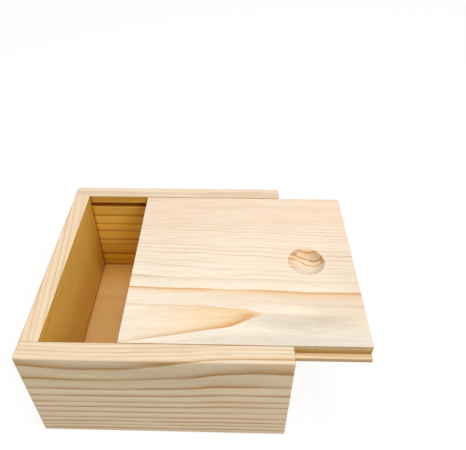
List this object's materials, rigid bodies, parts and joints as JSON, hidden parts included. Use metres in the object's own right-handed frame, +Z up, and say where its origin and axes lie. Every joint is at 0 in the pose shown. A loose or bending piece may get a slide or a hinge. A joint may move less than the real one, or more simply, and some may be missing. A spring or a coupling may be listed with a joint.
{
  "type": "sliding lid wooden box",
  "caption": "Square box of raw pine for papers and keepsakes, with a grooved slide-on lid that has a round thumb dish.",
  "frame": {"origin": "middle of the underside of the box, where its plywood base lies flush with the walls", "axes": "+X the way the lid slides open, +Y towards the back wall, +Z up"},
  "size_m": [0.167, 0.13, 0.067],
  "materials": {
    "pine_walls": "raw pine, planed and sanded, brown latewood lines along the length of each board",
    "pine_lid": "raw pine, planed and sanded, paler, with fine lines at the back and a broad flame figure in front",
    "plywood_base": "raw plywood, smooth, pinkish brown, faint grain"
  },
  "bodies": {
    "carcass": {"front_wall": "pine_walls", "back_wall": "pine_walls", "left_end_wall": "pine_walls", "right_end_wall": "pine_walls", "base_panel": "plywood_base"},
    "lid": {"lid": "pine_lid"}
  },
  "joints": [
    {"name": "lid_slide", "type": "slide", "parent": "carcass", "child": "lid", "axis": [1, 0, 0], "range_m": [-0.037, 0.088]}
  ]
}
